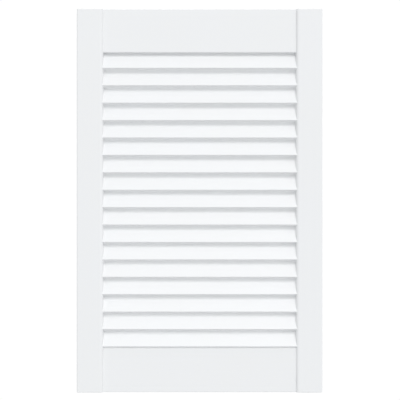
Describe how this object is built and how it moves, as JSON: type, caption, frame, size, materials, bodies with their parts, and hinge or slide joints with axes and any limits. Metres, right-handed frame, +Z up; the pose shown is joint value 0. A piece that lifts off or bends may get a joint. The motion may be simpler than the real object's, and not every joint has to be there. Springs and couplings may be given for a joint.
{
  "type": "louvred cabinet door",
  "caption": "Painted louvred cabinet door leaf: full-height stiles and set-back rails frame a bank of fixed sloping slats that let air through.",
  "frame": {"origin": "under the middle of the leaf's width and thickness, level with its bottom edge", "axes": "+Z up the leaf's height, +X to the right seen from the front, and the front faces -Y, with the slats' lower edges at the front"},
  "size_m": [0.394, 0.021, 0.615],
  "materials": {
    "painted_wood": "satin white paint over softwood",
    "beech": "bare, sealed inside the joints"
  },
  "bodies": {
    "root": {"left_stile": "painted_wood", "right_stile": "painted_wood", "top_rail": "painted_wood", "bottom_rail": "painted_wood", "slat_01": "painted_wood", "slat_02": "painted_wood", "slat_03": "painted_wood", "slat_04": "painted_wood", "slat_05": "painted_wood", "slat_06": "painted_wood", "slat_07": "painted_wood", "slat_08": "painted_wood", "slat_09": "painted_wood", "slat_10": "painted_wood", "slat_11": "painted_wood", "slat_12": "painted_wood", "slat_13": "painted_wood", "slat_14": "painted_wood", "slat_15": "painted_wood", "slat_16": "painted_wood", "slat_17": "painted_wood", "top_left_dowel_upper": "beech", "top_left_dowel_lower": "beech", "top_right_dowel_upper": "beech", "top_right_dowel_lower": "beech", "bottom_left_dowel_upper": "beech", "bottom_left_dowel_lower": "beech", "bottom_right_dowel_upper": "beech", "bottom_right_dowel_lower": "beech"}
  },
  "joints": []
}
